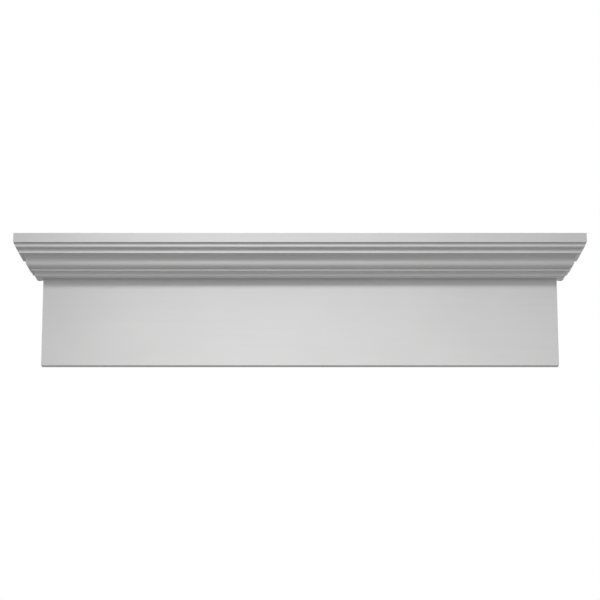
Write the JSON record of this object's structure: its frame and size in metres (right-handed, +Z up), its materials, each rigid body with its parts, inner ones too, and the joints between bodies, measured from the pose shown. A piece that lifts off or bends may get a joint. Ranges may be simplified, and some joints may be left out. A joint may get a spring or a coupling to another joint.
{
  "type": "door crosshead",
  "caption": "Door crosshead: a long plain frieze board under a stepped crown moulding whose mitred ends return to the wall, fixed flat over a door.",
  "frame": {"origin": "middle of the flat back face, which lies on the wall", "axes": "+X along the length, +Y into the wall (the front looks along -Y), +Z up"},
  "size_m": [1.347, 0.083, 0.305],
  "materials": {
    "primed_white": "matt white factory primer on moulded foam"
  },
  "bodies": {
    "root": {"crosshead": "primed_white"}
  },
  "joints": []
}
